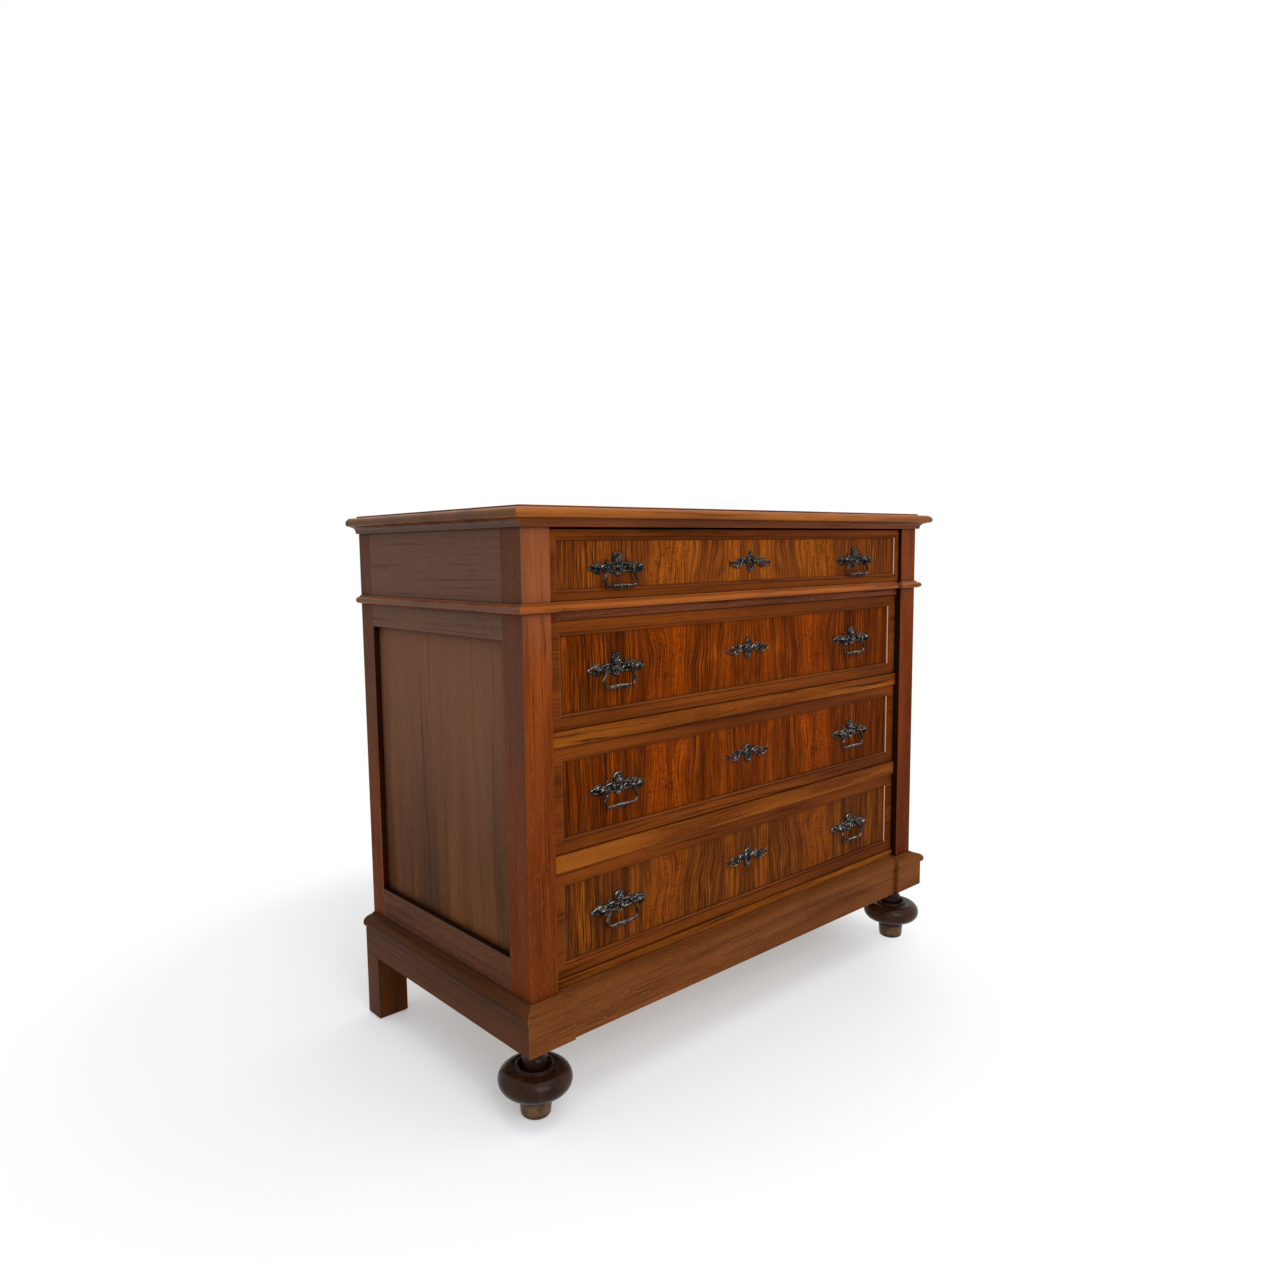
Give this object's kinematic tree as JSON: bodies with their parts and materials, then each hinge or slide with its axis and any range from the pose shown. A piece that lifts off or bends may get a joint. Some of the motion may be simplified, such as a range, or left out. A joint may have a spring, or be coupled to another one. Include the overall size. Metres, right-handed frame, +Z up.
{
  "type": "bachelors chest",
  "caption": "Walnut chest of long drawers with corner posts, nosed plinth, turned front feet, hollow cornice, pierced drop-bail pulls and key plates; drawers slide, bails swing, bolts lift.",
  "frame": {"origin": "on the floor under the middle of the chest's overall box", "axes": "+X to the viewer's right along the front, +Y to the back, +Z up"},
  "size_m": [1.218, 0.5796, 1.0253],
  "materials": {
    "walnut_dark": "shellac-polished solid walnut, reddish brown",
    "walnut_light": "shellac-polished walnut, golden brown",
    "walnut_veneer": "shellac-polished figured walnut veneer",
    "inner_wood": "bare softwood, planed",
    "blackened_iron": "blackened cast metal, edges rubbed bright",
    "lock_steel": "dull old steel"
  },
  "bodies": {
    "carcass": {"front_post_left": "walnut_dark", "front_post_right": "walnut_dark", "rear_post_left": "walnut_dark", "rear_post_right": "walnut_dark", "front_foot_left": "walnut_dark", "front_foot_right": "walnut_dark", "rear_leg_left": "walnut_dark", "rear_leg_right": "walnut_dark", "side_frame_left": "walnut_dark", "side_frame_right": "walnut_dark", "side_panel_left": "walnut_veneer", "side_panel_right": "walnut_veneer", "bottom_rail": "walnut_dark", "lower_rail": "walnut_dark", "upper_rail": "walnut_dark", "waist_rail": "walnut_dark", "plinth_front": "walnut_dark", "plinth_left": "walnut_dark", "plinth_right": "walnut_dark", "waist_moulding": "walnut_dark", "cornice_frame": "walnut_dark", "top_slab": "walnut_dark", "top_field": "walnut_veneer", "back_boards": "inner_wood", "dust_board": "inner_wood", "drawer_runners": "inner_wood", "drawer_stops": "inner_wood"},
    "drawer_1": {"drawer_1_front": "walnut_light", "drawer_1_panel": "walnut_veneer", "drawer_1_box": "inner_wood", "drawer_1_plates": "blackened_iron", "drawer_1_lock": "lock_steel"},
    "bolt_1": {"drawer_1_bolt": "lock_steel"},
    "bail_1_left": {"drawer_1_bail_left": "blackened_iron"},
    "bail_1_right": {"drawer_1_bail_right": "blackened_iron"},
    "drawer_2": {"drawer_2_front": "walnut_light", "drawer_2_panel": "walnut_veneer", "drawer_2_box": "inner_wood", "drawer_2_plates": "blackened_iron", "drawer_2_lock": "lock_steel"},
    "bolt_2": {"drawer_2_bolt": "lock_steel"},
    "bail_2_left": {"drawer_2_bail_left": "blackened_iron"},
    "bail_2_right": {"drawer_2_bail_right": "blackened_iron"},
    "drawer_3": {"drawer_3_front": "walnut_light", "drawer_3_panel": "walnut_veneer", "drawer_3_box": "inner_wood", "drawer_3_plates": "blackened_iron", "drawer_3_lock": "lock_steel"},
    "bolt_3": {"drawer_3_bolt": "lock_steel"},
    "bail_3_left": {"drawer_3_bail_left": "blackened_iron"},
    "bail_3_right": {"drawer_3_bail_right": "blackened_iron"},
    "drawer_4": {"drawer_4_front": "walnut_light", "drawer_4_panel": "walnut_veneer", "drawer_4_box": "inner_wood", "drawer_4_plates": "blackened_iron", "drawer_4_lock": "lock_steel"},
    "bolt_4": {"drawer_4_bolt": "lock_steel"},
    "bail_4_left": {"drawer_4_bail_left": "blackened_iron"},
    "bail_4_right": {"drawer_4_bail_right": "blackened_iron"}
  },
  "joints": [
    {"name": "drawer_1_slide", "type": "slide", "parent": "carcass", "child": "drawer_1", "axis": [0, -1, 0], "range_m": [0, 0.36]},
    {"name": "bolt_1_slide", "type": "slide", "parent": "drawer_1", "child": "bolt_1", "axis": [0, 0, 1], "range_m": [0, 0.008]},
    {"name": "bail_1_left_hinge", "type": "hinge", "parent": "drawer_1", "child": "bail_1_left", "pos_m": [-0.36, -0.25425, 0.922], "axis": [-1, 0, 0], "range_deg": [-10, 85]},
    {"name": "bail_1_right_hinge", "type": "hinge", "parent": "drawer_1", "child": "bail_1_right", "pos_m": [0.342, -0.25425, 0.922], "axis": [-1, 0, 0], "range_deg": [-10, 85]},
    {"name": "drawer_2_slide", "type": "slide", "parent": "carcass", "child": "drawer_2", "axis": [0, -1, 0], "range_m": [0, 0.36]},
    {"name": "bolt_2_slide", "type": "slide", "parent": "drawer_2", "child": "bolt_2", "axis": [0, 0, 1], "range_m": [0, 0.008]},
    {"name": "bail_2_left_hinge", "type": "hinge", "parent": "drawer_2", "child": "bail_2_left", "pos_m": [-0.36, -0.24775, 0.748], "axis": [-1, 0, 0], "range_deg": [-10, 85]},
    {"name": "bail_2_right_hinge", "type": "hinge", "parent": "drawer_2", "child": "bail_2_right", "pos_m": [0.342, -0.24775, 0.748], "axis": [-1, 0, 0], "range_deg": [-10, 85]},
    {"name": "drawer_3_slide", "type": "slide", "parent": "carcass", "child": "drawer_3", "axis": [0, -1, 0], "range_m": [0, 0.36]},
    {"name": "bolt_3_slide", "type": "slide", "parent": "drawer_3", "child": "bolt_3", "axis": [0, 0, 1], "range_m": [0, 0.008]},
    {"name": "bail_3_left_hinge", "type": "hinge", "parent": "drawer_3", "child": "bail_3_left", "pos_m": [-0.36, -0.24775, 0.537], "axis": [-1, 0, 0], "range_deg": [-10, 85]},
    {"name": "bail_3_right_hinge", "type": "hinge", "parent": "drawer_3", "child": "bail_3_right", "pos_m": [0.342, -0.24775, 0.537], "axis": [-1, 0, 0], "range_deg": [-10, 85]},
    {"name": "drawer_4_slide", "type": "slide", "parent": "carcass", "child": "drawer_4", "axis": [0, -1, 0], "range_m": [0, 0.36]},
    {"name": "bolt_4_slide", "type": "slide", "parent": "drawer_4", "child": "bolt_4", "axis": [0, 0, 1], "range_m": [0, 0.008]},
    {"name": "bail_4_left_hinge", "type": "hinge", "parent": "drawer_4", "child": "bail_4_left", "pos_m": [-0.36, -0.24775, 0.32175], "axis": [-1, 0, 0], "range_deg": [-10, 85]},
    {"name": "bail_4_right_hinge", "type": "hinge", "parent": "drawer_4", "child": "bail_4_right", "pos_m": [0.342, -0.24775, 0.32175], "axis": [-1, 0, 0], "range_deg": [-10, 85]}
  ]
}
